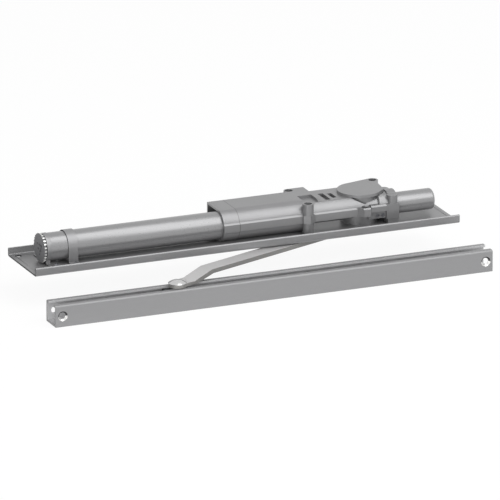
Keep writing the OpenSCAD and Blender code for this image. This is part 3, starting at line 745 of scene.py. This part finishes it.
class DOORCLOSER_OT_works(bpy.types.Operator):
    """Dresses the piston, the pinion and their seals and bearings"""
    bl_idname = "door_closer.works"
    bl_label = "Piston and pinion"

    def execute(self, context):
        skin = shared(context)
        dress(skin["gear"], "piston_rack", "pinion_shaft")
        dress(skin["ground"], "upper_bearing", "lower_bearing", "check_ball")
        for node, name in (("cover_seal", "cover_ring_seal"),
                           ("piston_seal", "piston_ring_seal")):
            low, high = np.array(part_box(node))
            centre, half = (low + high) / 2, (high - low) / 2
            across = int(np.argmin(half))
            wire = half[across]
            t = np.linspace(0, 2 * np.pi, 25)
            profile = np.stack([wire * np.cos(t), max(half) - wire + wire * np.sin(t)],
                               -1)
            points, faces = turned(profile, centre, "XYZ"[across], 96)
            new_piece(name, points, faces, skin["rubber"], node, 60)
        dress(skin["rubber"], "pinion_seal")
        return {"FINISHED"}


class DOORCLOSER_OT_screws(bpy.types.Operator):
    """Adds the screws with eased heads"""
    bl_idname = "door_closer.screws"
    bl_label = "Screws"

    def execute(self, context):
        zinc = shared(context)["zinc"]
        for node in ("body_screws", "foot_screws", "clamp_screws", "sweep_valve",
                     "latch_valve"):
            eased_copy(node, node + "_plated", zinc, 0.25 * MM)
        return {"FINISHED"}


class DOORCLOSER_OT_arm(bpy.types.Operator):
    """Adds the arm, its domed stud and the shoe"""
    bl_idname = "door_closer.arm"
    bl_label = "Arm and shoe"

    def execute(self, context):
        skin = shared(context)
        edge = context.scene.closer_sheet.edge
        arm = eased_copy("closer_arm", "pressed_arm", skin["arm"], edge * 2.5, 3)
        arm.data.materials.append(skin["arm_side_shade"])
        # painted shade: faces that look sideways take the darker copy of the arm's paint
        for face in arm.data.polygons:
            face.material_index = 1 if abs(face.normal.z) < 0.6 else 0
        eased_copy("arm_screw", "arm_screw_plated", skin["zinc"], 0.3 * MM)
        low, high = np.array(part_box("arm_stud"))
        centre = (low + high) / 2
        profile = stud_profile((high[0] - low[0]) / 2, high[2], low[2])
        points, faces = turned(profile, (centre[0], centre[1], 0), "Z", 96)
        new_piece("domed_stud", points, faces, skin["dome"], "arm_stud")
        dress(skin["zinc"], "stud_clip")
        # the shoe, in nylon painted dark for the shade under the arm's head
        eased_copy("slide_shoe", "moulded_shoe", skin["nylon"], 0.8 * MM, 3)
        return {"FINISHED"}


def stud_profile(head, top, foot):
    """A stud's profile from its top: at radius r the dome's height is
    top - B + sqrt(B * B - r * r), with B = (head * head + rise * rise) / (2 rise),
    and the head's rim, the pin, its clip groove and its foot follow in straight
    lines."""
    ball = (head ** 2 + DOME_RISE ** 2) / (2 * DOME_RISE)
    r = np.linspace(0, head, 28)
    cap = np.stack([top - ball + np.sqrt(ball ** 2 - r ** 2), r], -1)
    rim = top - DOME_RISE
    pin = np.array([
        (rim - 0.5 * MM, head - 0.1 * MM), (rim - 0.7 * MM, head - 0.6 * MM),
        (rim - 0.7 * MM, PIN_RADIUS), (foot + 2.3 * MM, PIN_RADIUS),
        (foot + 2.3 * MM, GROOVE_RADIUS), (foot + 1.1 * MM, GROOVE_RADIUS),
        (foot + 1.1 * MM, PIN_RADIUS), (foot + 0.4 * MM, PIN_RADIUS),
        (foot, PIN_RADIUS - 0.4 * MM), (foot, 0)])
    return np.concatenate([cap, pin])


class DOORCLOSER_OT_track(bpy.types.Operator):
    """Adds the track with eased edges, countersinks with a painted highlight where they
    look up and painted shade where they look down, and painted light on its inside
    """
    bl_idname = "door_closer.track"
    bl_label = "Track"

    def execute(self, context):
        skin = shared(context)
        track = eased_copy("track_channel", "extruded_track", skin["track"],
                           context.scene.closer_sheet.edge)
        for finish in ("land", "edge", "channel"):
            track.data.materials.append(skin[finish])
        low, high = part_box("track_channel")
        for face in track.data.polygons:
            y, z = face.center[1:]
            sunk = 0.4 < abs(face.normal.y) < 0.9 and \
                abs(z - (low[2] + high[2]) / 2) < COUNTERSINK_REACH
            inside = abs(face.normal.x) < 0.3 and \
                low[1] + TRACK_WALL < y < high[1] - TRACK_WALL and \
                low[2] + TRACK_WALL < z < high[2] - TRACK_LIP
            if sunk:
                # countersinks: painted highlight where they look up, painted shade where
                # they look down
                face.material_index = 1 if face.normal.z > 0 else 2
            elif inside:
                # painted light on the track's inside
                face.material_index = 3
        return {"FINISHED"}


class DOORCLOSER_OT_stage(bpy.types.Operator):
    """Adds the pale floor, the soft lamps and the camera"""
    bl_idname = "door_closer.stage"
    bl_label = "Studio"

    def execute(self, context):
        build_stage(context.scene.closer_stage)
        return {"FINISHED"}


class DOORCLOSER_PT_panel(bpy.types.Panel):
    """The closer's settings and the steps that build it"""
    bl_label = "Door closer"
    bl_idname = "DOORCLOSER_PT_panel"
    bl_space_type = "VIEW_3D"
    bl_region_type = "UI"
    bl_category = "Door closer"

    def draw(self, context):
        for attribute, kind, operators in GROUPS:
            box = self.layout.box()
            settings = getattr(context.scene, attribute)
            for name in kind.__annotations__:
                box.prop(settings, name)
            for operator in operators:
                box.operator(operator.bl_idname)


GROUPS = (
    ("closer_sheet", SheetSettings, (DOORCLOSER_OT_plate, DOORCLOSER_OT_track,
                                     DOORCLOSER_OT_arm)),
    ("closer_housing", HousingSettings, (DOORCLOSER_OT_housing, DOORCLOSER_OT_screws)),
    ("closer_tube", TubeSettings, (DOORCLOSER_OT_tubes,)),
    ("closer_dial", DialSettings, (DOORCLOSER_OT_dial,)),
    ("closer_spring", SpringSettings, (DOORCLOSER_OT_spring, DOORCLOSER_OT_works)),
    ("closer_stage", StageSettings, (DOORCLOSER_OT_stage,)),
)


def register():
    for attribute, kind, operators in GROUPS:
        bpy.utils.register_class(kind)
        setattr(bpy.types.Scene, attribute, PointerProperty(type=kind))
        for operator in operators:
            bpy.utils.register_class(operator)
    bpy.utils.register_class(DOORCLOSER_PT_panel)


def unregister():
    bpy.utils.unregister_class(DOORCLOSER_PT_panel)
    for attribute, kind, operators in reversed(GROUPS):
        for operator in reversed(operators):
            bpy.utils.unregister_class(operator)
        delattr(bpy.types.Scene, attribute)
        bpy.utils.unregister_class(kind)


def corners():
    """The whole object's box as two plain lists."""
    return [[float(v) for v in corner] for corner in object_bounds()]


def main():
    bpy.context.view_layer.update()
    register()
    for step in (bpy.ops.door_closer.plate, bpy.ops.door_closer.housing,
                 bpy.ops.door_closer.tubes, bpy.ops.door_closer.dial,
                 bpy.ops.door_closer.spring, bpy.ops.door_closer.works,
                 bpy.ops.door_closer.screws, bpy.ops.door_closer.arm,
                 bpy.ops.door_closer.track, bpy.ops.door_closer.stage):
        step()


if __name__ == "__main__":
    main()
